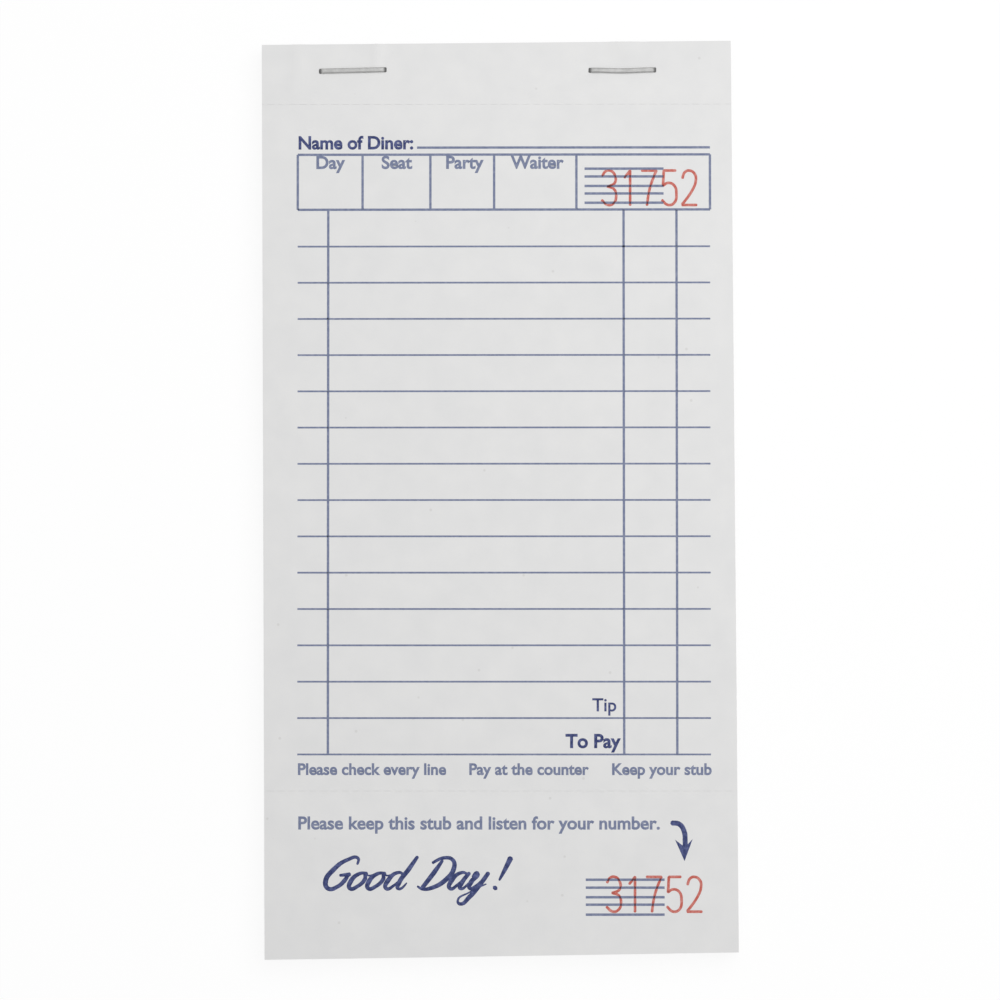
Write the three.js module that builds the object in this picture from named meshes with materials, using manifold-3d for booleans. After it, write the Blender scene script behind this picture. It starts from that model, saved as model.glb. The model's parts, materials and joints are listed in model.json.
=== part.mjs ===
// A guest check pad: a stapled block of perforated order checks on a chipboard back.
// Millimetres, +Z up. X runs along the perforations and +Y towards the stapled head.
// The origin is under the middle of the pad, on the surface that it lies on.
import * as THREE from "three";
import { mergeVertices } from "three/addons/utils/BufferGeometryUtils.js";
import Module from "manifold-3d";

// The trimmed block, measured through its middle
const padWidth = 88.6;
const padLength = 171.65;
// Each side was trimmed a little askew of the print and the perforations, in degrees
const leftCutTurn = 0.24;
const rightCutTurn = 0.39;
const headCutTurn = 0.43;
const footCutTurn = 0.91;

// The leaves and the chipboard that they lie on
const leafCount = 50;
const leafThickness = 0.1;
const leafGap = 0.02;
const boardThickness = 0.8;

// The two perforations of a leaf, as distances from the head and from the foot
const bindingStripDepth = 11.5;
const claimStubDepth = 31;
const slitWidth = 0.25;
const tiePitch = 2;
const tieWidth = 0.6;

// Two staples of flat wire
const crownLength = 12.7;
const wireWidth = 0.9;
const wireThickness = 0.5;
const bendRadius = 0.45;
const clinchReach = 4.6;
const tipSlant = 0.3;
const stapleSpacing = 50.8;
const stapleOffset = -2.1;
const stapleInset = 5.2;

// Clearances of the wire to the paper and the board, and of its underside to the table
const legClearance = 0.05;
const crownClearance = 0.02;
const clinchRecess = 0.03;

const radians = THREE.MathUtils.degToRad;
const headY = padLength / 2;
const footY = -padLength / 2;
const upperPerforationY = headY - bindingStripDepth;
const lowerPerforationY = footY + claimStubDepth;
const stapleY = headY - stapleInset;
const leafPitch = leafThickness + leafGap;
const leafUndersideZ = (number) => boardThickness + leafGap + (leafCount - number) * leafPitch;
const blockTopZ = leafUndersideZ(1) + leafThickness;
const legCentreX = crownLength / 2 - wireThickness / 2;
const stapleCentres = [stapleOffset - stapleSpacing / 2, stapleOffset + stapleSpacing / 2];

const wasm = await Module();
wasm.setup();

// A closed geometry as a solid that can be cut
function solidOf(geometry) {
  const bare = geometry.clone();
  bare.deleteAttribute("normal");
  bare.deleteAttribute("uv");
  const merged = mergeVertices(bare, 1e-4);
  const mesh = new wasm.Mesh({
    numProp: 3,
    vertProperties: merged.attributes.position.array,
    triVerts: new Uint32Array(merged.index.array),
  });
  return new wasm.Manifold(mesh);
}

function geometryOf(solid) {
  const mesh = solid.getMesh();
  const geometry = new THREE.BufferGeometry();
  geometry.setAttribute("position", new THREE.BufferAttribute(mesh.vertProperties, 3));
  geometry.setIndex(new THREE.BufferAttribute(mesh.triVerts, 1));
  return geometry;
}

// The trimmed sides: x on the left and right cuts at a height y
function leftX(y) {
  return -padWidth / 2 - y * Math.tan(radians(leftCutTurn));
}

function rightX(y) {
  return padWidth / 2 - y * Math.tan(radians(rightCutTurn));
}

// The corner where a side, x = start - y * lean, meets the head or foot, y = height + x * rise
function corner(start, sideTurn, height, cutTurn) {
  const lean = Math.tan(radians(sideTurn));
  const rise = Math.tan(radians(cutTurn));
  const y = (height + start * rise) / (1 + lean * rise);
  return new THREE.Vector2(start - y * lean, y);
}

const headLeft = corner(-padWidth / 2, leftCutTurn, headY, headCutTurn);
const headRight = corner(padWidth / 2, rightCutTurn, headY, headCutTurn);
const footRight = corner(padWidth / 2, rightCutTurn, footY, footCutTurn);
const footLeft = corner(-padWidth / 2, leftCutTurn, footY, footCutTurn);
const trimmedOutline = [footLeft, footRight, headRight, headLeft];

// A rectangular opening through sheet stock, from one x to another and one y to another
function opening(fromX, toX, fromY, toY) {
  return { fromX, toX, fromY, toY };
}

// The four holes for the staples' legs
function legHoles() {
  const halfX = wireThickness / 2 + legClearance;
  const halfY = wireWidth / 2 + legClearance;
  const legs = stapleCentres.flatMap((x) => [x - legCentreX, x + legCentreX]);
  return legs.map((x) => opening(x - halfX, x + halfX, stapleY - halfY, stapleY + halfY));
}

// The slits of a perforation. Between them, ties of paper reach down to the paper below.
function slits(perforationY) {
  const top = perforationY + slitWidth / 2;
  const under = perforationY - slitWidth;
  const left = leftX(perforationY);
  const right = rightX(perforationY);
  const tieCount = Math.floor((right - left) / tiePitch);
  const firstTie = (left + right) / 2 - ((tieCount - 1) / 2) * tiePitch;
  const row = [];
  let start = -padWidth;
  for (let tie = 0; tie < tieCount; tie += 1) {
    const x = firstTie + tie * tiePitch;
    row.push(opening(start, x - tieWidth / 2, under, top));
    start = x + tieWidth / 2;
  }
  row.push(opening(start, padWidth, under, top));
  return row;
}

// The two ends of the edge where one part of a leaf meets the ties of the part above
function across(y) {
  return [new THREE.Vector2(leftX(y), y), new THREE.Vector2(rightX(y), y)];
}

// Sheet stock: an outline, drawn anticlockwise, at a thickness, with its openings punched out
function sheet(outline, thickness, openings) {
  const blank = new THREE.ExtrudeGeometry(new THREE.Shape(outline), {
    depth: thickness,
    bevelEnabled: false,
  });
  let solid = solidOf(blank);
  for (const { fromX, toX, fromY, toY } of openings) {
    const punch = new THREE.BoxGeometry(toX - fromX, toY - fromY, 3 * thickness);
    punch.translate((fromX + toX) / 2, (fromY + toY) / 2, thickness / 2);
    solid = solid.subtract(solidOf(punch));
  }
  return solid;
}

// The chipboard back, with grooves underneath into which the clinched legs are pressed flush
function backingBoard() {
  let board = sheet(trimmedOutline, boardThickness, legHoles());
  const grooveTop = clinchRecess + wireThickness + legClearance;
  const grooveLength = clinchReach + 2 * legClearance;
  for (const centre of stapleCentres) {
    for (const side of [-1, 1]) {
      const groove = new THREE.BoxGeometry(grooveLength, wireWidth + 2 * legClearance, 2 * grooveTop);
      const outerEnd = crownLength / 2 + legClearance;
      groove.translate(centre + side * (outerEnd - grooveLength / 2), stapleY, 0);
      board = board.subtract(solidOf(groove));
    }
  }
  return board;
}

// One bent staple: a crown, two legs and two clinched ends, drawn from the side and given its width
function staple() {
  const outer = crownLength / 2;
  const inner = outer - wireThickness;
  const crownUnder = blockTopZ + crownClearance;
  const crownTop = crownUnder + wireThickness;
  const clinchUnder = clinchRecess;
  const clinchTop = clinchUnder + wireThickness;
  const tip = outer - clinchReach;
  const side = new THREE.Shape();
  side.moveTo(-tip - tipSlant, clinchUnder);
  side.lineTo(-tip, clinchTop);
  side.lineTo(-inner, clinchTop);
  side.lineTo(-inner, crownUnder);
  side.lineTo(inner, crownUnder);
  side.lineTo(inner, clinchTop);
  side.lineTo(tip, clinchTop);
  side.lineTo(tip + tipSlant, clinchUnder);
  side.lineTo(outer - bendRadius, clinchUnder);
  side.absarc(outer - bendRadius, clinchUnder + bendRadius, bendRadius, -Math.PI / 2, 0, false);
  side.lineTo(outer, crownTop - bendRadius);
  side.absarc(outer - bendRadius, crownTop - bendRadius, bendRadius, 0, Math.PI / 2, false);
  side.lineTo(-outer + bendRadius, crownTop);
  side.absarc(-outer + bendRadius, crownTop - bendRadius, bendRadius, Math.PI / 2, Math.PI, false);
  side.lineTo(-outer, clinchUnder + bendRadius);
  side.absarc(-outer + bendRadius, clinchUnder + bendRadius, bendRadius, Math.PI, 1.5 * Math.PI, false);
  const wire = new THREE.ExtrudeGeometry(side, {
    depth: wireWidth,
    bevelEnabled: false,
    curveSegments: 6,
  });
  wire.rotateX(Math.PI / 2);
  wire.translate(0, wireWidth / 2, 0);
  return wire;
}

const paperFinish = { color: 0xe2e2e1, roughness: 0.88, metalness: 0 };
const boardFinish = { color: 0x9a8f80, roughness: 0.95, metalness: 0 };
const wireFinish = { color: 0xb4b4b2, roughness: 0.35, metalness: 1 };

const pad = new THREE.Group();

function add(name, geometry, finish, x, y, z) {
  const mesh = new THREE.Mesh(geometry, new THREE.MeshStandardMaterial(finish));
  mesh.name = name;
  mesh.position.set(x, y, z);
  pad.add(mesh);
}

add("backing_board", geometryOf(backingBoard()), boardFinish, 0, 0, 0);

// Every leaf under the top one is whole, since it can't turn until those above it have gone
const wholeLeaf = sheet(trimmedOutline, leafThickness, legHoles());
for (let number = leafCount; number > 1; number -= 1) {
  const name = "check_leaf_" + String(number).padStart(2, "0");
  add(name, geometryOf(wholeLeaf), paperFinish, 0, 0, leafUndersideZ(number));
}

// The top leaf in its three parts, which turn on each other at the perforations
const topZ = leafUndersideZ(1);
const [stripLeft, stripRight] = across(upperPerforationY - slitWidth / 2);
const [checkLeft, checkRight] = across(lowerPerforationY - slitWidth / 2);
const bindingStrip = sheet(
  [stripLeft, stripRight, headRight, headLeft],
  leafThickness,
  [...legHoles(), ...slits(upperPerforationY)],
);
const check = sheet(
  [checkLeft, checkRight, stripRight, stripLeft],
  leafThickness,
  slits(lowerPerforationY),
);
const claimStub = sheet([footLeft, footRight, checkRight, checkLeft], leafThickness, []);
add("top_binding_strip", geometryOf(bindingStrip), paperFinish, 0, 0, topZ);
add("top_check", geometryOf(check), paperFinish, 0, 0, topZ);
add("top_claim_stub", geometryOf(claimStub), paperFinish, 0, 0, topZ);

add("staple_left", staple(), wireFinish, stapleCentres[0], stapleY, 0);
add("staple_right", staple(), wireFinish, stapleCentres[1], stapleY, 0);

// The trimmed corners are the extremes of the pad, so its middle is the middle of theirs
pad.position.x = -(headLeft.x + footRight.x) / 2;
pad.position.y = -(footLeft.y + headRight.y) / 2;

export default pad;
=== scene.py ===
import json
import math
import random
import bpy
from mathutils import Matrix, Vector


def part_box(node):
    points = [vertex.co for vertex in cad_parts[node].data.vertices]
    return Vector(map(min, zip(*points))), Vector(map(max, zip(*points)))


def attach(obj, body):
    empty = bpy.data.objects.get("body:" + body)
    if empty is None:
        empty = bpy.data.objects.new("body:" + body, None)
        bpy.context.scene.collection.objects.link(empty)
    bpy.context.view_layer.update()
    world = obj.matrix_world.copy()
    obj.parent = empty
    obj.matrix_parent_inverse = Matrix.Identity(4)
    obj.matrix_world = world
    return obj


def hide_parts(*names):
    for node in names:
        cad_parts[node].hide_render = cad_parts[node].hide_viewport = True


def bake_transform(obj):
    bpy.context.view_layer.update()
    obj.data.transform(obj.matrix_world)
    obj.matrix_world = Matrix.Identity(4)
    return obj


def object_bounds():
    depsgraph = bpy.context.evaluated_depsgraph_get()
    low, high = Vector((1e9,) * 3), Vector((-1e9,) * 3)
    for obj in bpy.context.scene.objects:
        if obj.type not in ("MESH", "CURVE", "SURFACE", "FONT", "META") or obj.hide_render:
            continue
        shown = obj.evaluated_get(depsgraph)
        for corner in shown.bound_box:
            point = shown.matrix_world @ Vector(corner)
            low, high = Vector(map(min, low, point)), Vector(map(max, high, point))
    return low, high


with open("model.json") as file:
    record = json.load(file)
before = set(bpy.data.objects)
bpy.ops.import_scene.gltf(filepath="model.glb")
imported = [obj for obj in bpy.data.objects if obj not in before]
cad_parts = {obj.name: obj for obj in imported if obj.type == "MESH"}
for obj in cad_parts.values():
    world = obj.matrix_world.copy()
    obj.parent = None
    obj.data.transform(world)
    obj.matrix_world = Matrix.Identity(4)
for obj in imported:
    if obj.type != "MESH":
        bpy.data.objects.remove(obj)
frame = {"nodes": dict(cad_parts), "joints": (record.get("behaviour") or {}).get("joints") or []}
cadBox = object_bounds()

# A stapled pad of guest checks, face up, its head towards +Y.
# Sizes are in millimetres, and mm makes them metres.
mm = 0.001
seam = 0.001 * mm   # how near two corners are when they are merged
dice = random.Random(7)
folds = {joint["name"]: Vector(joint["pos_m"]) for joint in frame["joints"]}
checkFold = folds["check_turn"]   # the upper perforation, on the face of the top leaf
stubFold = folds["claim_fold"]    # the lower perforation
leafNodes = sorted(name for name in frame["nodes"] if name.startswith("check_leaf_"))
print("frame:", len(leafNodes), "lower leaves")


# Camera, where the photograph looks from
camera = {
    "place": (3.53, -11.16, 570.4),
    "turn": (1.117, 0.348, -0.024),   # degrees
    "lens": 108,
    "sensor": 36,
    "nearest": 10,
}

bpy.ops.object.camera_add(location=[v * mm for v in camera["place"]],
                          rotation=[math.radians(v) for v in camera["turn"]])
cam = bpy.context.object
cam.data.lens = camera["lens"]
cam.data.sensor_width = camera["sensor"]
cam.data.clip_start = camera["nearest"] * mm
bpy.context.scene.camera = cam
print("camera: straight down")


# Ways of working, as in the viewport

def pick(*pieces):
    bpy.ops.object.select_all(action="DESELECT")
    for piece in pieces:
        piece.select_set(True)
    bpy.context.view_layer.objects.active = pieces[0]


def editAll(piece):
    pick(piece)
    bpy.ops.object.mode_set(mode="EDIT")
    bpy.ops.mesh.select_all(action="SELECT")


def done():
    bpy.ops.object.mode_set(mode="OBJECT")


def selectOnly(piece, kind, test):
    # kind is VERT, EDGE or FACE, and test is given the places of the corners
    pick(piece)
    bpy.ops.object.mode_set(mode="EDIT")
    bpy.ops.mesh.select_mode(type=kind)
    bpy.ops.mesh.select_all(action="DESELECT")
    done()
    points = piece.data.vertices
    if kind == "VERT":
        for point in points:
            point.select = test(point.co)
    elif kind == "EDGE":
        for edge in piece.data.edges:
            edge.select = test(points[edge.vertices[0]].co, points[edge.vertices[1]].co)
    else:
        for face in piece.data.polygons:
            face.select = test(face.center)
    bpy.ops.object.mode_set(mode="EDIT")


def copyOf(piece, name):
    pick(piece)
    bpy.ops.object.duplicate()
    twin = bpy.context.object
    twin.name = name
    return twin


def modify(piece, kind, **settings):
    pick(piece)
    change = piece.modifiers.new(kind, kind)
    for setting, value in settings.items():
        setattr(change, setting, value)
    bpy.ops.object.modifier_apply(modifier=change.name)


def settle(piece, place=(0, 0, 0)):
    piece.location = place
    pick(piece)
    bpy.ops.object.transform_apply()


def joined(name, pieces):
    pick(*pieces)
    bpy.ops.object.join()
    whole = bpy.context.object
    whole.name = name
    return whole


smoothUnder = 35   # degrees between two faces that are shaded as one


def finishPiece(piece, body, slotName, look, *nodes):
    pick(piece)
    bpy.ops.object.shade_smooth_by_angle(angle=math.radians(smoothUnder))
    piece.data.materials.clear()
    piece.data.materials.append(look)
    if body:
        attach(piece, body)
    if nodes:
        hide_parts(*nodes)


# Light: a soft lamp over the head's right corner and an even sky
studio = {
    "lampPlace": (150, 150, 530),
    "lampSize": 520,
    "lampPower": 2.2,
    "sky": 0.46,
    "floorSize": 3000,
    "floorGap": 0.05,
    "floorTone": 0.98,
    "floorLift": 0.9,   # how far the floor goes to plain white for the camera
}


def addNode(tree, kind, inputs=None, **settings):
    node = tree.nodes.new(kind)
    for setting, value in settings.items():
        setattr(node, setting, value)
    for socket, value in (inputs or {}).items():
        if isinstance(value, bpy.types.NodeSocket):
            tree.links.new(value, node.inputs[socket])
        else:
            node.inputs[socket].default_value = value
    return node


def seenRays(tree):
    # 1 for what the camera sees, straight or by way of metal or glass
    rays = addNode(tree, "ShaderNodeLightPath").outputs
    either = addNode(tree, "ShaderNodeMath", {0: rays["Is Camera Ray"], 1: rays["Is Glossy Ray"]},
                     operation="MAXIMUM").outputs[0]
    return addNode(tree, "ShaderNodeMath", {0: either, 1: rays["Is Transmission Ray"]},
                   operation="MAXIMUM").outputs[0]


def lightStudio():
    place = Vector(studio["lampPlace"]) * mm
    facing = place.to_track_quat("Z", "Y").to_euler()
    bpy.ops.object.light_add(type="AREA", location=place, rotation=facing)
    lamp = bpy.context.object
    lamp.data.shape = "DISK"
    lamp.data.size = studio["lampSize"] * mm
    lamp.data.energy = studio["lampPower"]

    world = bpy.data.worlds.new("sky")
    bpy.context.scene.world = world
    world.use_nodes = True
    tree = world.node_tree
    tree.nodes.clear()
    lit = addNode(tree, "ShaderNodeBackground", {"Color": (1, 1, 1, 1), "Strength": studio["sky"]})
    seen = addNode(tree, "ShaderNodeBackground", {"Color": (1, 1, 1, 1), "Strength": 1.0})
    both = addNode(tree, "ShaderNodeMixShader",
                   {0: seenRays(tree), 1: lit.outputs[0], 2: seen.outputs[0]})
    addNode(tree, "ShaderNodeOutputWorld", {"Surface": both.outputs[0]})

    bpy.ops.object.select_all(action="DESELECT")
    bpy.ops.mesh.primitive_plane_add(size=studio["floorSize"] * mm)
    floor = bpy.context.object
    floor.name = "floor"
    settle(floor, (0, 0, cadBox[0][2] - studio["floorGap"] * mm))
    look = bpy.data.materials.new("paleFloor")
    look.use_nodes = True
    tree = look.node_tree
    tree.nodes.clear()
    tone = studio["floorTone"]
    pale = addNode(tree, "ShaderNodeBsdfDiffuse", {"Color": (tone, tone, tone, 1)})
    white = addNode(tree, "ShaderNodeEmission", {"Color": (1, 1, 1, 1), "Strength": 1.0})
    share = addNode(tree, "ShaderNodeMath", {0: seenRays(tree), 1: studio["floorLift"]},
                    operation="MULTIPLY")
    both = addNode(tree, "ShaderNodeMixShader",
                   {0: share.outputs[0], 1: pale.outputs[0], 2: white.outputs[0]})
    addNode(tree, "ShaderNodeOutputMaterial", {"Surface": both.outputs[0]})
    floor.data.materials.append(look)


lightStudio()
bpy.context.scene.view_settings.view_transform = "Standard"
print("studio: lamp, sky and floor")


# Finishes. paperGrain and inkWear are shared by several materials.

def newGroup(name, inputs, outputs):
    group = bpy.data.node_groups.new(name, "ShaderNodeTree")
    for label, kind in inputs:
        group.interface.new_socket(label, in_out="INPUT", socket_type=kind)
    for label, kind in outputs:
        group.interface.new_socket(label, in_out="OUTPUT", socket_type=kind)
    return group, addNode(group, "NodeGroupInput"), addNode(group, "NodeGroupOutput")


def noiseOf(tree, place, size, detail=3, kind="FBM", distortion=0.0):
    # size is the grain's size in millimetres, a number or a socket
    scale = addNode(tree, "ShaderNodeMath", {0: 1000.0, 1: size}, operation="DIVIDE")
    inputs = {"Vector": place, "Scale": scale.outputs[0], "Detail": detail, "Distortion": distortion}
    return addNode(tree, "ShaderNodeTexNoise", inputs, noise_type=kind).outputs[0]


def band(tree, value, low, high, toLow=0.0, toHigh=1.0):
    return addNode(tree, "ShaderNodeMapRange", {"Value": value, "From Min": low, "From Max": high,
                                                "To Min": toLow, "To Max": toHigh}).outputs["Result"]


def maths(tree, operation, first, second):
    return addNode(tree, "ShaderNodeMath", {0: first, 1: second}, operation=operation).outputs[0]


def blendColour(tree, share, first, second):
    return addNode(tree, "ShaderNodeMix", {0: share, 6: first, 7: second}, data_type="RGBA").outputs[2]


def buildPaperGrain():
    group, given, made = newGroup(
        "paperGrain",
        [("Place", "NodeSocketVector"), ("Cloud Size", "NodeSocketFloat"),
         ("Fibre Size", "NodeSocketFloat"), ("Speck Spacing", "NodeSocketFloat")],
        [("Cloud", "NodeSocketFloat"), ("Fibre", "NodeSocketFloat"), ("Speck", "NodeSocketFloat"),
         ("Height", "NodeSocketFloat")])
    place = given.outputs["Place"]
    cloud = band(group, noiseOf(group, place, given.outputs["Cloud Size"], detail=5), 0.3, 0.7)
    fine = noiseOf(group, place, given.outputs["Fibre Size"], detail=2, distortion=0.6)
    fibre = band(group, noiseOf(group, place, maths(group, "MULTIPLY", given.outputs["Fibre Size"], 3.0),
                                detail=4, kind="RIDGED_MULTIFRACTAL", distortion=1.5), 0.2, 1.4)
    scale = maths(group, "DIVIDE", 1000.0, given.outputs["Speck Spacing"])
    cells = addNode(group, "ShaderNodeTexVoronoi", {"Vector": place, "Scale": scale, "Randomness": 1.0})
    speck = band(group, cells.outputs["Distance"], 0.035, 0.06, 1.0, 0.0)
    group.links.new(cloud, made.inputs["Cloud"])
    group.links.new(fibre, made.inputs["Fibre"])
    group.links.new(speck, made.inputs["Speck"])
    height = maths(group, "ADD", maths(group, "MULTIPLY", fine, 0.5),
                   maths(group, "MULTIPLY", fibre, 0.5))
    group.links.new(height, made.inputs["Height"])
    return group


def buildInkWear():
    group, given, made = newGroup(
        "inkWear",
        [("Place", "NodeSocketVector"), ("Patch Size", "NodeSocketFloat")],
        [("Thin", "NodeSocketFloat"), ("Height", "NodeSocketFloat")])
    place = given.outputs["Place"]
    patches = noiseOf(group, place, given.outputs["Patch Size"], detail=4)
    pinholes = noiseOf(group, place, maths(group, "MULTIPLY", given.outputs["Patch Size"], 0.2), detail=1)
    worn = band(group, patches, 0.42, 0.72, 0.0, 0.6)
    thin = maths(group, "ADD", worn, band(group, pinholes, 0.55, 0.75, 0.0, 0.5))
    group.links.new(thin, made.inputs["Thin"])
    group.links.new(pinholes, made.inputs["Height"])
    return group


paperGrain = buildPaperGrain()
inkWear = buildInkWear()


def newLook(name, roughness, specular=0.3, metallic=0.0):
    look = bpy.data.materials.new(name)
    look.use_nodes = True
    tree = look.node_tree
    shader = tree.nodes["Principled BSDF"]
    shader.inputs["Roughness"].default_value = roughness
    shader.inputs["Specular IOR Level"].default_value = specular
    shader.inputs["Metallic"].default_value = metallic
    return look, tree, shader, addNode(tree, "ShaderNodeTexCoord").outputs["Object"]


def bumpInto(tree, shader, height, strength, depth):
    bump = addNode(tree, "ShaderNodeBump",
                   {"Height": height, "Strength": strength, "Distance": depth * mm})
    tree.links.new(bump.outputs[0], shader.inputs["Normal"])


def paperLook(name, light, shade, speckTone, grain, bump):
    look, tree, shader, place = newLook(name, roughness=0.85, specular=0.15)
    mix = addNode(tree, "ShaderNodeGroup", node_tree=paperGrain)
    tree.links.new(place, mix.inputs["Place"])
    for label, value in grain.items():
        mix.inputs[label].default_value = value
    base = blendColour(tree, mix.outputs["Cloud"], shade, light)
    fibre = maths(tree, "MULTIPLY", mix.outputs["Fibre"], 0.35)
    base = blendColour(tree, fibre, base, shade)
    base = blendColour(tree, maths(tree, "MULTIPLY", mix.outputs["Speck"], 0.3), base, speckTone)
    tree.links.new(base, shader.inputs["Base Color"])
    tree.links.new(band(tree, mix.outputs["Fibre"], 0.0, 1.0, 0.8, 0.92), shader.inputs["Roughness"])
    bumpInto(tree, shader, mix.outputs["Height"], bump[0], bump[1])
    return look


def inkLook(name, full, thin, patchSize):
    look, tree, shader, place = newLook(name, roughness=0.6, specular=0.2)
    wear = addNode(tree, "ShaderNodeGroup", node_tree=inkWear)
    tree.links.new(place, wear.inputs["Place"])
    wear.inputs["Patch Size"].default_value = patchSize
    tree.links.new(blendColour(tree, wear.outputs["Thin"], full, thin), shader.inputs["Base Color"])
    bumpInto(tree, shader, wear.outputs["Height"], 0.2, 0.01)
    return look


def wireLook(name, bright, dull, bent):
    # painted shade: the wire is darkened near each end of its crown and down its legs, where they go into
    # the holes, as the pieces' attribute called bend tells
    look, tree, shader, place = newLook(name, roughness=0.6, specular=0.4, metallic=0.5)
    turned = addNode(tree, "ShaderNodeMapping", {"Vector": place, "Scale": (0.04, 1.0, 1.0)})
    drawn = noiseOf(tree, turned.outputs[0], 0.09, detail=3)
    spots = noiseOf(tree, place, 1.3, detail=4)
    base = blendColour(tree, band(tree, spots, 0.4, 0.7), bright, dull)
    bend = addNode(tree, "ShaderNodeAttribute", attribute_name="bend").outputs["Fac"]
    # painted shade at the bends, made patchy by the spots
    paintedShadeShare = maths(tree, "MULTIPLY", bend, band(tree, spots, 0.2, 0.8, 1.0, 0.6))
    tree.links.new(blendColour(tree, paintedShadeShare, base, bent), shader.inputs["Base Color"])
    tree.links.new(band(tree, drawn, 0.3, 0.7, 0.5, 0.68), shader.inputs["Roughness"])
    bumpInto(tree, shader, drawn, 0.35, 0.02)
    return look


paper = paperLook("checkPaper", light=(0.76, 0.758, 0.755, 1), shade=(0.73, 0.73, 0.73, 1),
                  speckTone=(0.5, 0.49, 0.47, 1), bump=(0.25, 0.03),
                  grain={"Cloud Size": 5.0, "Fibre Size": 0.22, "Speck Spacing": 5.5})
chipboard = paperLook("chipboard", light=(0.335, 0.3, 0.255, 1), shade=(0.255, 0.225, 0.19, 1),
                      speckTone=(0.07, 0.06, 0.05, 1), bump=(0.6, 0.08),
                      grain={"Cloud Size": 1.1, "Fibre Size": 0.28, "Speck Spacing": 1.2})
blueInk = inkLook("blueInk", full=(0.024, 0.035, 0.12, 1), thin=(0.145, 0.17, 0.355, 1), patchSize=0.9)
# fineInk is the same ink, laid thinly
fineInk = inkLook("fineInk", full=(0.155, 0.183, 0.29, 1), thin=(0.28, 0.305, 0.41, 1), patchSize=0.7)
redInk = inkLook("redInk", full=(0.5, 0.105, 0.08, 1), thin=(0.69, 0.34, 0.3, 1), patchSize=0.6)
# bent is painted shade, the dark grey that the wire is given at its bends
wire = wireLook("stapleWire", bright=(0.4, 0.4, 0.395, 1), dull=(0.32, 0.32, 0.316, 1),
                bent=(0.095, 0.095, 0.095, 1))
print("finishes: paper, chipboard, two inks and wire")


# Staples, each read from its box in the frame
staple = {
    "wireThick": 0.5,
    "shoulder": 0.25,     # radius inside the bends
    "reach": 4.6,         # from a leg's outside to the tip of its clinched end
    "edge": 0.23,         # rounding of the flat wire
    "bendShade": 0.6,     # length at each end of the crown that is given painted shade
    "crownSteps": 6,
    "bendSteps": 6,
    "tip": (1, 0.75, 0.5),   # how far the ends are drawn in
    "mirrorReach": 0.01,
    "leftTurn": 1.3,      # degrees, seen from above
    "rightTurn": 0.3,
    "rightBow": 0.15,
    "bowDepth": 0.5,      # the part of the crown that is pushed out of line
    "bowWidth": 0.3,
    "bowReach": 5.5,
}


def middleOf(node):
    low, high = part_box(node)
    return (low + high) / 2


def bendWire(name, node):
    # half the staple, from the middle of its crown to a clinched tip, and then its mirror image
    low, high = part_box(node)
    width = high.y - low.y
    crownHalf = (high.x - low.x) / 2
    thick = staple["wireThick"] * mm
    bpy.ops.object.select_all(action="DESELECT")
    bpy.ops.mesh.primitive_plane_add(size=1)
    half = bpy.context.object
    editAll(half)
    bpy.ops.transform.resize(value=(thick, width, 1))
    bpy.ops.transform.rotate(value=math.pi / 2, orient_axis="Y", center_override=(0, 0, 0))
    bpy.ops.mesh.bevel(offset=staple["edge"] * mm, segments=3, affect="VERTICES")
    bpy.ops.mesh.delete(type="ONLY_FACE")
    bpy.ops.mesh.select_mode(type="EDGE")
    bpy.ops.mesh.select_all(action="SELECT")
    bendRadius = staple["shoulder"] * mm + thick / 2
    straight = crownHalf - thick / 2 - bendRadius
    stretch = (straight / staple["crownSteps"], 0, 0)
    for step in range(staple["crownSteps"]):
        bpy.ops.mesh.extrude_region_move(TRANSFORM_OT_translate={"value": stretch})
    bpy.ops.mesh.spin(steps=staple["bendSteps"], angle=-math.pi / 2, axis=(0, 1, 0),
                      center=(straight, 0, -bendRadius))
    drop = high.z - low.z - thick - 2 * bendRadius
    bpy.ops.mesh.extrude_region_move(TRANSFORM_OT_translate={"value": (0, 0, -drop)})
    bpy.ops.mesh.spin(steps=staple["bendSteps"], angle=-math.pi / 2, axis=(0, 1, 0),
                      center=(straight, 0, -bendRadius - drop))
    bpy.ops.mesh.extrude_region_move(
        TRANSFORM_OT_translate={"value": (-(staple["reach"] * mm - thick / 2 - bendRadius), 0, 0)})
    bpy.ops.transform.resize(value=staple["tip"])
    bpy.ops.mesh.edge_face_add()
    done()
    modify(half, "MIRROR", use_axis=(True, False, False), use_mirror_merge=True,
           merge_threshold=staple["mirrorReach"] * mm)
    editAll(half)
    bpy.ops.mesh.remove_doubles(threshold=seam)
    bpy.ops.mesh.normals_make_consistent(inside=False)
    done()
    half.name = name
    return half


def markPaintedBendShade(piece, node):
    # the attribute bend is the mask for painted shade: 0 along the crown, rising to 1 towards each end of it
    low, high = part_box(node)
    straight = (high.x - low.x) / 2 - staple["bendShade"] * mm
    bend = piece.data.attributes.new("bend", "FLOAT", "POINT")
    for point, mark in zip(piece.data.vertices, bend.data):
        mark.value = max(0, min(1, (abs(point.co.x) - straight) / (staple["bendShade"] * mm / 2)))


def placeStaple(piece, node, turn, bow):
    middle = middleOf(node)
    markPaintedBendShade(piece, node)
    if bow:
        deep, wide = staple["bowDepth"] * mm, staple["bowWidth"] * mm
        selectOnly(piece, "VERT", lambda p: p.z > -deep and abs(p.x) < wide)
        bpy.ops.transform.translate(value=(0, -bow * mm, 0), use_proportional_edit=True,
                                    proportional_edit_falloff="SMOOTH",
                                    proportional_size=staple["bowReach"] * mm)
        done()
    piece.rotation_euler.z = math.radians(turn)
    settle(piece, (middle.x, middle.y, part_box(node)[1].z - staple["wireThick"] * mm / 2))


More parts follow.
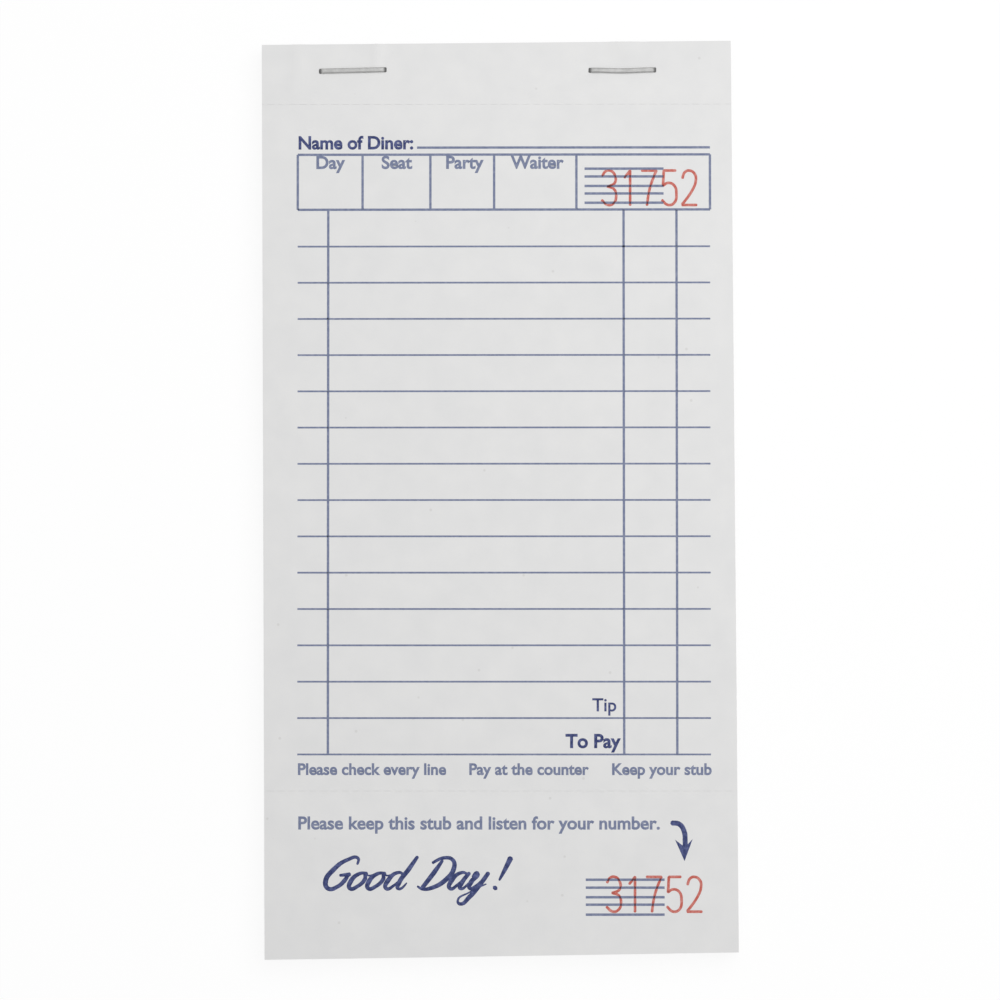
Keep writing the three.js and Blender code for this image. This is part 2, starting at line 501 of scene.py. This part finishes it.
leftStaple = bendWire("leftStaple", "staple_left")
rightStaple = copyOf(leftStaple, "rightStaple")
placeStaple(leftStaple, "staple_left", staple["leftTurn"], 0)
placeStaple(rightStaple, "staple_right", staple["rightTurn"], staple["rightBow"])
finishPiece(leftStaple, "pad", "staple_wire", wire, "staple_left")
finishPiece(rightStaple, "pad", "staple_wire", wire, "staple_right")


def legPlaces():
    # x, y and the way that the clinched end points
    places = []
    for node, turn in (("staple_left", staple["leftTurn"]), ("staple_right", staple["rightTurn"])):
        low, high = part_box(node)
        middle = middleOf(node)
        out = (high.x - low.x - staple["wireThick"] * mm) / 2
        rise = out * math.sin(math.radians(turn))
        for side in (-1, 1):
            places.append((middle.x + side * out, middle.y + side * rise, -side))
    return places


print("staples: two, bent and clinched")


# Sheets. All are spread larger than the pad, perforated, and trimmed on the board's four cut edges.
leaf = {
    "thick": 0.1,
    "pitch": 2.0,            # of the perforation
    "cutShare": 2 / 3,       # of the pitch
    "cutSteps": 6,           # corners along one pitch
    "slit": 0.02,
    "onCut": 1.1,            # how far from its middle a slit is felt, in half slits
    "fineCell": (1.0, 1.0),
    "plainCell": (2.0, 4.0),
    "sharp": 0.001,          # how near to a cut a corner counts as on it
    "hole": (0.28, 0.48),    # half the size of the holes for the legs
    "holeCorner": 0.57,
    "wave": 0.26,            # how far the loose paper of the top leaf rises
    "waveSize": 55,
    "dome": 0.12,
    "calm": 12,              # from a perforation to where the waves are full
    "heldShare": 0.1,        # of the waves at the staples
    "domeRise": 3,           # how soon the dome is full below them
    "slide": 0.04,           # how far a leaf may lie out of line
    "leastShare": 0.4,       # of the rise from one leaf to the next
}

waves = bpy.data.textures.new("looseWaves", "CLOUDS")
waves.noise_scale = leaf["waveSize"] * mm
waves.noise_depth = 1


def cornerOf(right, up):
    points = frame["nodes"]["backing_board"].data.vertices
    return max(points, key=lambda p: right * p.co.x + up * p.co.y).co.copy()


# round the pad from its head
corners = [cornerOf(-1, 1), cornerOf(1, 1), cornerOf(1, -1), cornerOf(-1, -1)]


def trim(sheet):
    for start, end in zip(corners, corners[1:] + corners[:1]):
        outward = Vector((start.y - end.y, end.x - start.x, 0)).normalized()
        editAll(sheet)
        bpy.ops.mesh.bisect(plane_co=(start.x, start.y, 0), plane_no=outward, clear_outer=True,
                            threshold=leaf["sharp"] * mm)
        done()


def cutHole(sheet, x, y, halfX, halfY, room):
    # eight cuts through the faces round the hole, then the piece between them goes
    middle = Vector((x, y, 0))
    corner = (halfX + halfY) * leaf["holeCorner"]
    sides = []
    for eighth, out in enumerate((halfX, corner, halfY, corner) * 2):
        way = Vector((math.cos(eighth * math.pi / 4), math.sin(eighth * math.pi / 4), 0))
        sides.append((way, out))
        selectOnly(sheet, "FACE", lambda c: abs(c.x - x) < halfX + room and abs(c.y - y) < halfY + room)
        bpy.ops.mesh.bisect(plane_co=middle + way * out, plane_no=way, threshold=leaf["sharp"] * mm)
        done()
    selectOnly(sheet, "FACE", lambda c: all((c - middle).dot(way) < out for way, out in sides))
    bpy.ops.mesh.delete(type="FACE")
    done()


def spreadSheet(name, cell):
    columns = 2 * math.ceil(corners[2].x / (cell[0] * mm) + 0.5)
    rows = 2 * math.ceil(corners[1].y / (cell[1] * mm) + 0.5)
    bpy.ops.object.select_all(action="DESELECT")
    bpy.ops.mesh.primitive_grid_add(x_subdivisions=columns, y_subdivisions=rows, size=1)
    sheet = bpy.context.object
    sheet.name = name
    editAll(sheet)
    bpy.ops.transform.resize(value=(columns * cell[0] * mm, rows * cell[1] * mm, 1))
    half = leaf["slit"] * mm / 2
    for fold in (checkFold, stubFold):
        for side in (-1, 1):
            bpy.ops.mesh.select_all(action="SELECT")
            bpy.ops.mesh.bisect(plane_co=(0, fold.y + side * half, 0), plane_no=(0, 1, 0),
                                threshold=leaf["sharp"] * mm)
    done()
    pitch = leaf["pitch"] * mm

    def onFold(y):
        return min(abs(y - checkFold.y), abs(y - stubFold.y)) < half * leaf["onCut"]

    selectOnly(sheet, "EDGE", lambda a, b: onFold(a.y) and onFold(b.y) and abs(a.x - b.x) > half)
    bpy.ops.mesh.subdivide(number_cuts=round(cell[0] / leaf["pitch"] * leaf["cutSteps"]) - 1)
    done()
    selectOnly(sheet, "FACE", lambda c: onFold(c.y) and abs(c.x / pitch % 1 - 0.5) < leaf["cutShare"] / 2)
    bpy.ops.mesh.delete(type="FACE")
    done()
    for leg in legPlaces():
        cutHole(sheet, leg[0], leg[1], leaf["hole"][0] * mm, leaf["hole"][1] * mm, max(cell) * mm)
    trim(sheet)
    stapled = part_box("staple_left")[0].y
    loose = sheet.vertex_groups.new(name="loose")
    domed = sheet.vertex_groups.new(name="domed")
    for point in sheet.data.vertices:
        x, y = point.co.x, point.co.y
        free = max(0, stapled - y) / (stapled - corners[2].y)
        away = min(1, min(abs(y - checkFold.y), abs(y - stubFold.y)) / (leaf["calm"] * mm))
        calm = away * away * (3 - 2 * away)
        loose.add([point.index], min(1, leaf["heldShare"] + free) * calm, "REPLACE")
        arch = max(0, 1 - (x / corners[2].x) ** 2) * min(1, leaf["domeRise"] * free)
        domed.add([point.index], arch * calm, "REPLACE")
    return sheet


def liftPaper(sheet, share):
    # the same waves for every leaf, less and less of them further down, so that no leaf meets the next
    modify(sheet, "DISPLACE", texture=waves, texture_coords="LOCAL", direction="Z", mid_level=0,
           strength=leaf["wave"] * share * mm, vertex_group="loose")
    modify(sheet, "DISPLACE", direction="Z", mid_level=0, strength=leaf["dome"] * share * mm,
           vertex_group="domed")


def thicken(sheet):
    modify(sheet, "SOLIDIFY", thickness=leaf["thick"] * mm, offset=-1)


fineSheet = spreadSheet("fineSheet", leaf["fineCell"])
plainSheet = spreadSheet("plainSheet", leaf["plainCell"])
print("sheets: spread, perforated and trimmed")


# Board
board = {
    "cells": (24, 46),
    "spare": 1.03,      # how much larger it is spread before it is trimmed
    "rim": 0.12,        # softening of its cut edges
    "groove": 0.56,     # depth that the clinched ends are pressed in
    "grooveWide": 1.0,
    "grooveSpare": 0.3,
    "grooveRim": 0.15,
}


def makeBoard():
    low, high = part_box("backing_board")
    bpy.ops.object.select_all(action="DESELECT")
    across, along = board["cells"]
    bpy.ops.mesh.primitive_grid_add(x_subdivisions=across, y_subdivisions=along, size=1)
    piece = bpy.context.object
    piece.name = "board"
    editAll(piece)
    spare = board["spare"]
    bpy.ops.transform.resize(value=((high.x - low.x) * spare, (high.y - low.y) * spare, 1))
    done()
    trim(piece)
    settle(piece, (0, 0, high.z))
    modify(piece, "SOLIDIFY", thickness=high.z - low.z, offset=-1)
    modify(piece, "BEVEL", width=board["rim"] * mm, segments=2, limit_method="ANGLE")
    cutters = []
    for x, y, inward in legPlaces():
        reach, thick = staple["reach"] * mm, staple["wireThick"] * mm
        bpy.ops.object.select_all(action="DESELECT")
        bpy.ops.mesh.primitive_cube_add(size=1, location=(x + inward * (reach - thick) / 2, y, low.z))
        groove = bpy.context.object
        groove.scale = (reach + board["grooveSpare"] * mm, board["grooveWide"] * mm,
                        board["groove"] * 2 * mm)
        bpy.ops.object.transform_apply()
        modify(groove, "BEVEL", width=board["grooveRim"] * mm, segments=3, limit_method="ANGLE")
        bpy.ops.object.select_all(action="DESELECT")
        bpy.ops.mesh.primitive_cube_add(size=1, location=(x, y, (low.z + high.z) / 2))
        hole = bpy.context.object
        hole.scale = (2 * leaf["hole"][0] * mm, 2 * leaf["hole"][1] * mm, 4 * (high.z - low.z))
        bpy.ops.object.transform_apply()
        for cutter in (groove, hole):
            modify(piece, "BOOLEAN", operation="DIFFERENCE", object=cutter, solver="EXACT")
            cutters.append(cutter)
    pick(*cutters)
    bpy.ops.object.delete()
    return piece


finishPiece(makeBoard(), "pad", "chipboard", chipboard, "backing_board")
print("board: cut, with grooves for the clinched ends")


# Leaves under the top one, from the board up
shares = [leaf["leastShare"] + dice.random() for node in leafNodes]
risen = 0
leafSheets = {}
for node, share in zip(reversed(leafNodes), shares):
    risen += share / (sum(shares) + 1)
    second = node == leafNodes[0]
    sheet = copyOf(fineSheet if second else plainSheet, node.replace("check_leaf_", "leaf"))
    liftPaper(sheet, risen)
    thicken(sheet)
    slide = (0, 0) if second else (dice.uniform(-1, 1), dice.uniform(-1, 1))
    settle(sheet, (slide[0] * leaf["slide"] * mm, slide[1] * leaf["slide"] * mm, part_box(node)[1].z))
    finishPiece(sheet, "pad", "check_paper", paper, node)
    leafSheets[node] = sheet
secondSheet = leafSheets[leafNodes[0]]
print("leaves:", len(leafSheets), "under the top one")


# Top leaf, one sheet that is parted along its two perforations
top = {
    "bend": 4.0,        # how much of the check would curl when it is turned over
    "stubBend": 3.0,
    "creaseWidth": 0.6,
    # creases that the staples pull up: from, to, rise and reach
    "creases": (
        ((-23.3, 82.2), (-23.4, 86.4), 0.3, 1.5),
        ((-37.4, 86.2), (-38.6, 76.5), 0.18, 2.4),
        ((24.2, 84.6), (22.8, 86.4), 0.38, 3.6),
        ((16.2, 80.0), (6.8, 75.8), 0.2, 1.6),
    ),
}


def crease(sheet, start, end, rise, reach):
    start, end = Vector(start) * mm, Vector(end) * mm
    run = end - start

    def near(p):
        along = max(0, min(1, (p.xy - start).dot(run) / run.length_squared))
        return (p.xy - start - run * along).length < top["creaseWidth"] * mm

    selectOnly(sheet, "VERT", near)
    bpy.ops.transform.translate(value=(0, 0, rise * mm), use_proportional_edit=True,
                                proportional_edit_falloff="SMOOTH", proportional_size=reach * mm)
    done()


def partSheet(name, upper, lower):
    part = copyOf(fineSheet, name)
    for fold, side in ((upper, 1), (lower, -1)):
        if fold:
            editAll(part)
            bpy.ops.mesh.bisect(plane_co=(0, fold.y, 0), plane_no=(0, side, 0), clear_outer=True,
                                threshold=leaf["sharp"] * mm)
            done()
    thicken(part)
    settle(part, (0, 0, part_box("top_check")[1].z))
    return part


liftPaper(fineSheet, 1)
for start, end, rise, reach in top["creases"]:
    crease(fineSheet, start, end, rise, reach)
bindingStrip = partSheet("bindingStrip", None, checkFold)
checkSheet = partSheet("checkSheet", checkFold, stubFold)
claimStub = partSheet("claimStub", stubFold, None)
finishPiece(bindingStrip, "pad", "check_paper", paper, "top_binding_strip")
finishPiece(checkSheet, None, "check_paper", paper, "top_check")
finishPiece(claimStub, None, "check_paper", paper, "top_claim_stub")
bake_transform(checkSheet)
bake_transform(claimStub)
pick(fineSheet, plainSheet)
bpy.ops.object.delete()
print("top leaf: binding strip, check and claim stub")


# Print. Everything is made flat, given the ink's thickness and laid on its sheet.
ink = {
    "thick": 0.02,
    "lowLift": 0.002,      # how far the middle of the blue stands over the second leaf
    "topLift": 0.006,      # and over the top leaf
    "numberLift": 0.004,   # how much further the red stands, since it was stamped later
    "dropHeight": 20,      # from which it is laid down
    "capShare": 0.7,       # a capital's height in the built-in font
    "barStep": 2,
    "wordSteps": 7,
    "penSteps": 6,
    "endReach": 0.3,       # of a stroke's round end
    "endShare": 0.45,
}


def layOn(piece, sheet, lift):
    for point in piece.data.vertices:
        above = (point.co.x, point.co.y, ink["dropHeight"] * mm)
        spot = sheet.ray_cast(above, (0, 0, -1))[1]
        point.co.z += spot.z + lift * mm


def inkBar(fold, x, down, toX, toDown, width):
    start = Vector((x * mm, fold.y - down * mm))
    end = Vector((toX * mm, fold.y - toDown * mm))
    run = end - start
    bpy.ops.object.select_all(action="DESELECT")
    steps = max(2, round(run.length / (ink["barStep"] * mm)))
    bpy.ops.mesh.primitive_grid_add(x_subdivisions=steps, y_subdivisions=1, size=1)
    bar = bpy.context.object
    bar.scale = (run.length, width * mm, 1)
    bar.rotation_euler.z = math.atan2(run.y, run.x)
    settle(bar, ((start + end) / 2).to_3d())
    return bar


def inkWords(fold, words, x, down, height, bold=0.0, width=None, hang=0.0):
    # hang is the share of the words that lies left of x: 0.5 centres them, and 1 ends them there
    bpy.ops.object.select_all(action="DESELECT")
    bpy.ops.object.text_add()
    text = bpy.context.object
    text.data.body = words
    text.data.size = height * mm / ink["capShare"]
    text.data.offset = bold * mm
    text.data.resolution_u = ink["wordSteps"]
    bpy.ops.object.convert(target="MESH")
    text = bpy.context.object
    if width:
        text.scale.x = width * mm / text.dimensions.x
    bpy.context.view_layer.update()
    settle(text, (x * mm - hang * text.dimensions.x, fold.y - down * mm, 0))
    return text


def spreadWords(fold, labels, left, right, down, height, bold):
    words = [inkWords(fold, label, left, down, height, bold=bold) for label in labels]
    gap = ((right - left) * mm - sum(word.dimensions.x for word in words)) / (len(words) - 1)
    shift = 0
    for word in words:
        wide = word.dimensions.x
        settle(word, (shift, 0, 0))
        shift += wide + gap
    return words


def inkFlats(name, pieces):
    whole = joined(name, pieces)
    editAll(whole)
    bpy.ops.mesh.remove_doubles(threshold=seam)
    done()
    modify(whole, "SOLIDIFY", thickness=ink["thick"] * mm, offset=0)
    return whole


def roundEnd(last, before, weight):
    # a narrow point just past the end of a stroke
    way = (Vector(last[:2]) - Vector(before[:2])).normalized() * weight * last[2] * ink["endReach"]
    return (last[0] + way.x, last[1] + way.y, last[2] * ink["endShare"])


def inkStrokes(name, strokes, weight):
    # strokes of a pen, given as points in millimetres, each with a share of the pen's width if need be
    bpy.ops.object.select_all(action="DESELECT")
    bpy.ops.curve.primitive_bezier_curve_add()
    pen = bpy.context.object
    pen.name = name
    pen.data.splines.clear()
    for stroke in strokes:
        ends = [roundEnd(stroke[0], stroke[1], weight), roundEnd(stroke[-1], stroke[-2], weight)]
        stroke = ends[:1] + stroke + ends[1:]
        spline = pen.data.splines.new("BEZIER")
        spline.bezier_points.add(len(stroke) - 1)
        for point, (x, y, share) in zip(spline.bezier_points, stroke):
            point.co = (x * mm, y * mm, 0)
            point.handle_left_type = "AUTO"
            point.handle_right_type = "AUTO"
            point.radius = share
    pen.data.dimensions = "3D"
    pen.data.resolution_u = ink["penSteps"]
    pen.data.bevel_depth = weight * mm / 2
    pen.data.bevel_resolution = 1
    pen.data.use_fill_caps = True
    bpy.ops.object.convert(target="MESH")
    pen = bpy.context.object
    editAll(pen)
    bpy.ops.mesh.remove_doubles(threshold=seam)
    bpy.ops.transform.resize(value=(1, 1, ink["thick"] / weight), center_override=(0, 0, 0))
    bpy.ops.mesh.normals_make_consistent(inside=False)
    done()
    settle(pen)
    return pen


# The check's form. Downs are measured from the perforation above.
form = {
    "left": -37.95,
    "right": 39.65,
    "boxTop": 9.5,
    "boxFoot": 19.88,
    "columns": (-25.74, -12.97, -0.97, 14.52),
    "frameLine": 0.45,
    "firstRow": 26.83,
    "rowPitch": 6.8184,
    "rows": 15,
    "rowLine": 0.33,
    "money": (-32.2, 23.385, 33.338),
    "nameLine": (-15.49, 8.17),
    "name": "Name of Diner:",
    "namePlace": (8.4, 2.4, 0.106, 21.6),   # down, height, boldness and width
    "labels": (("Day", -31.9), ("Seat", -19.3), ("Party", -6.6), ("Waiter", 7.3)),
    "labelPlace": (12.1, 2.35, 0.1),
    # down, height, boldness and right end
    "sums": (("Tip", 114.17, 2.43, 0.05, 21.9), ("To Pay", 121.0, 2.53, 0.11, 22.8)),
    "smallPrint": ("Please check every line", "Pay at the counter", "Keep your stub"),
    "smallPlace": (126.07, 2.1, 0.088),
}

number = {
    "hatch": (16.05, 30.92),
    "hatchLine": 0.47,
    "checkHatch": (12.18, 13.65, 15.44, 16.86, 18.61),
    "stubHatch": (16.57, 18.05, 19.84, 21.23, 23.09),
    "digitTall": 6.5,
    "digitWide": 2.75,
    "digitPitch": 3.78,
    "checkPlace": (19.25, 19.05),
    "stubPlace": (20.0, 22.54),
    "pen": 0.52,
    "crossing": (0.1, 0.03, 0.035, 1),   # colour where both inks lie on each other
}

# Numbering digits in a box one wide and one tall
digitStrokes = {
    "1": [[(0.2, 0.8), (0.58, 1.0)], [(0.58, 1.0), (0.58, 0.0)]],
    "2": [[(0.04, 0.78), (0.2, 0.95), (0.52, 1.0), (0.88, 0.9), (0.95, 0.7), (0.7, 0.42), (0.02, 0.02)],
          [(0.02, 0.0), (1.0, 0.0)]],
    "3": [[(0.05, 0.84), (0.28, 0.98), (0.6, 1.0), (0.92, 0.86), (0.9, 0.64), (0.4, 0.54)],
          [(0.4, 0.54), (0.86, 0.46), (1.0, 0.26), (0.84, 0.06), (0.46, 0.0), (0.02, 0.14)]],
    "5": [[(0.94, 1.0), (0.14, 1.0)], [(0.14, 1.0), (0.08, 0.56)],
          [(0.08, 0.56), (0.4, 0.64), (0.82, 0.58), (1.0, 0.32), (0.84, 0.06), (0.44, 0.0), (0.02, 0.14)]],
    "7": [[(0.0, 1.0), (1.0, 1.0)], [(1.0, 1.0), (0.56, 0.5), (0.36, 0.0)]],
}


def numberStrokes(digits, fold, x, down):
    strokes = []
    for place, digit in enumerate(digits):
        for stroke in digitStrokes[digit]:
            strokes.append([(x + number["digitPitch"] * place + number["digitWide"] * across,
                             fold.y / mm - down + number["digitTall"] * up, 1) for across, up in stroke])
    return strokes


def isNear(tree, value, middle, reach):
    inputs = {0: value, 1: middle * mm, 2: reach * mm}
    return addNode(tree, "ShaderNodeMath", inputs, operation="COMPARE").outputs[0]


def markCrossings(look, dark):
    # both inks show where a number lies over its hatch
    tree = look.node_tree
    base = tree.nodes["Principled BSDF"].inputs["Base Color"]
    place = addNode(tree, "ShaderNodeTexCoord").outputs["Object"]
    apart = addNode(tree, "ShaderNodeSeparateXYZ", {"Vector": place})
    lines = 0.0
    for fold, downs in ((checkFold, number["checkHatch"]), (stubFold, number["stubHatch"])):
        for down in downs:
            line = isNear(tree, apart.outputs["Y"], fold.y / mm - down, number["hatchLine"] / 2)
            lines = maths(tree, "ADD", lines, line)
    left, right = number["hatch"]
    across = isNear(tree, apart.outputs["X"], (left + right) / 2, (right - left) / 2)
    share = maths(tree, "MULTIPLY", lines, across)
    tree.links.new(blendColour(tree, share, base.links[0].from_socket, dark), base)


def printNumber(name, digits, fold, place, sheet, lift, body):
    red = inkStrokes(name, numberStrokes(digits, fold, *place), number["pen"])
    layOn(red, sheet, lift + ink["numberLift"])
    finishPiece(red, body, "red_ink", redInk)


def checkPrint():
    left, right = form["left"], form["right"]
    head, foot = form["boxTop"], form["boxFoot"]
    rows = [form["firstRow"] + form["rowPitch"] * row for row in range(form["rows"])]
    uprights = (left, right) + form["columns"]
    bars = [inkBar(checkFold, left, down, right, down, form["frameLine"]) for down in (head, foot)]
    bars += [inkBar(checkFold, x, head, x, foot, form["frameLine"]) for x in uprights]
    bars += [inkBar(checkFold, x, foot, x, rows[-1], form["frameLine"]) for x in form["money"]]
    bars += [inkBar(checkFold, left, down, right, down, form["rowLine"]) for down in rows]
    start, down = form["nameLine"]
    bars.append(inkBar(checkFold, start, down, right, down, form["frameLine"]))
    start, end = number["hatch"]
    bars += [inkBar(checkFold, start, down, end, down, number["hatchLine"])
             for down in number["checkHatch"]]
    down, height, weight = form["labelPlace"]
    words = [inkWords(checkFold, label, middle, down, height, bold=weight, hang=0.5)
             for label, middle in form["labels"]]
    words += spreadWords(checkFold, form["smallPrint"], left, right, *form["smallPlace"])
    headings = [inkWords(checkFold, label, end, down, height, bold=weight, hang=1)
                for label, down, height, weight, end in form["sums"]]
    down, height, weight, width = form["namePlace"]
    headings.append(inkWords(checkFold, form["name"], left, down, height, bold=weight, width=width))
    return inkFlats("checkRules", bars + words), inkFlats("checkHeadings", headings)


# The claim stub's sentence, arrow and courtesy in brush script
stub = {
    "sentence": "Please keep this stub and listen for your number.",
    "sentencePlace": (-37.9, 7.11),
    "sentenceSize": (2.34, 67.8, 0.09),
    "arrowShaft": ((32.33, 5.95), (33.7, 6.2), (34.55, 7.4), (34.78, 9.5), (34.72, 11.2)),
    "arrowPen": 0.95,
    "arrowHead": ((34.66, 13.1), (36.2, 8.95), (34.75, 10.5), (32.9, 9.1)),
    "scriptPlace": (-33.6, 18.24),
    "scriptTall": 3.1,       # height of the small letters
    "scriptWide": 3.57,      # and the width that goes with it
    "scriptLean": 0.6,
    "scriptPen": 0.88,
    "firstWord": 4,          # letters before the gap
    "wordGap": 0.75,
    "hatchShift": 0.1,
}

# Letters of the courtesy, with small letters one tall: the advance,
# then strokes of across, up and pen share
letterO = (0.96, [[(0.58, 0.95, 0.5), (0.24, 0.9, 0.8), (0.03, 0.44, 1.05), (0.2, 0.02, 0.9),
                   (0.54, 0.14, 0.8), (0.7, 0.6, 0.9), (0.56, 0.95, 0.6), (0.74, 0.8, 0.4),
                   (0.98, 0.84, 0.3)]])
scriptLetters = (
    (1.34, [[(1.18, 1.48, 0.5), (1.02, 1.84, 0.7), (0.55, 1.76, 0.8), (0.1, 1.15, 1.05), (0.07, 0.38, 1.1),
             (0.42, 0.0, 0.95), (0.86, 0.14, 0.85), (1.02, 0.5, 0.95), (1.04, 0.84, 0.7)],
            [(0.62, 0.8, 0.6), (1.1, 0.86, 0.9)]]),
    letterO,
    letterO,
    (1.1, [[(0.7, 0.82, 0.5), (0.38, 0.98, 0.7), (0.04, 0.48, 1.05), (0.18, 0.02, 0.85), (0.5, 0.18, 0.6),
            (0.74, 0.9, 0.5)],
           [(0.84, 1.92, 0.7), (0.78, 1.2, 1.0), (0.7, 0.3, 1.0), (0.82, 0.0, 0.7), (1.1, 0.34, 0.3)]]),
    (1.5, [[(0.42, 1.7, 0.6), (0.36, 1.0, 1.05), (0.22, 0.08, 0.9)],
           [(-0.08, 0.14, 0.4), (0.26, -0.02, 0.7), (0.74, 0.06, 0.9), (1.18, 0.5, 1.05), (1.28, 1.18, 1.05),
            (0.96, 1.72, 0.85), (0.42, 1.86, 0.75), (-0.02, 1.56, 0.6)]]),
    (1.0, [[(0.68, 0.86, 0.5), (0.36, 0.98, 0.7), (0.03, 0.48, 1.05), (0.18, 0.02, 0.85), (0.48, 0.25, 0.6),
            (0.7, 0.92, 0.6)],
           [(0.72, 0.94, 0.8), (0.64, 0.3, 1.0), (0.72, 0.02, 0.8), (1.0, 0.36, 0.3)]]),
    (1.0, [[(0.0, 0.72, 0.4), (0.14, 0.95, 0.8), (0.1, 0.4, 1.05), (0.22, 0.03, 0.85), (0.48, 0.18, 0.6),
            (0.72, 0.94, 0.6)],
           [(0.72, 0.94, 0.9), (0.64, 0.2, 1.0), (0.48, -0.5, 1.0), (0.2, -0.92, 0.75), (-0.02, -0.72, 0.5),
            (0.3, -0.25, 0.35), (0.95, 0.28, 0.3)]]),
    (0.4, [[(0.42, 1.84, 1.2), (0.48, 1.2, 0.95), (0.52, 0.52, 0.45)],
           [(0.54, 0.02, 1.1), (0.55, 0.07, 1.1)]]),
)


def courtesyStrokes():
    x, down = stub["scriptPlace"]
    tall, wide = stub["scriptTall"], stub["scriptWide"]
    strokes = []
    for place, (advance, letter) in enumerate(scriptLetters):
        for stroke in letter:
            strokes.append([(x + across * wide + stub["scriptLean"] * up * tall,
                             stubFold.y / mm - down + up * tall, share) for across, up, share in stroke])
        gap = stub["wordGap"] if place + 1 == stub["firstWord"] else 0
        x += (advance + gap) * wide
    return strokes


def arrowHead():
    bpy.ops.object.select_all(action="DESELECT")
    bpy.ops.mesh.primitive_circle_add(vertices=len(stub["arrowHead"]), fill_type="NGON")
    head = bpy.context.object
    for point, (x, down) in zip(head.data.vertices, stub["arrowHead"]):
        point.co = (x * mm, stubFold.y - down * mm, 0)
    return head


def stubPrint():
    start, end = number["hatch"]
    bars = [inkBar(stubFold, start + stub["hatchShift"], down, end, down, number["hatchLine"])
            for down in number["stubHatch"]]
    height, width, weight = stub["sentenceSize"]
    x, down = stub["sentencePlace"]
    sentence = inkWords(stubFold, stub["sentence"], x, down, height, bold=weight, width=width)
    shaft = [(x, stubFold.y / mm - down, 1) for x, down in stub["arrowShaft"]]
    return (inkFlats("stubRules", bars + [sentence]), inkFlats("arrowHead", [arrowHead()]),
            inkStrokes("arrowShaft", [shaft], stub["arrowPen"]),
            inkStrokes("courtesy", courtesyStrokes(), stub["scriptPen"]))


# Each blue piece is made once and copied to the second leaf. The red numbers run on from leaf to leaf.
for pieces, sheet, body in ((checkPrint(), checkSheet, "check"), (stubPrint(), claimStub, "claim_stub")):
    for piece in pieces:
        look = fineInk if piece.name.endswith("Rules") else blueInk
        lower = copyOf(piece, piece.name + "Second")
        layOn(lower, secondSheet, ink["lowLift"])
        finishPiece(lower, "pad", "blue_ink", look)
        layOn(piece, sheet, ink["topLift"])
        finishPiece(piece, body, "blue_ink", look)
markCrossings(redInk, number["crossing"])
printNumber("checkNumber", "31752", checkFold, number["checkPlace"], checkSheet, ink["topLift"], "check")
printNumber("stubNumber", "31752", stubFold, number["stubPlace"], claimStub, ink["topLift"], "claim_stub")
printNumber("checkNumberSecond", "31753", checkFold, number["checkPlace"], secondSheet,
            ink["lowLift"], "pad")
printNumber("stubNumberSecond", "31753", stubFold, number["stubPlace"], secondSheet,
            ink["lowLift"], "pad")
print("print: form, stub and numbers on the top two leaves")
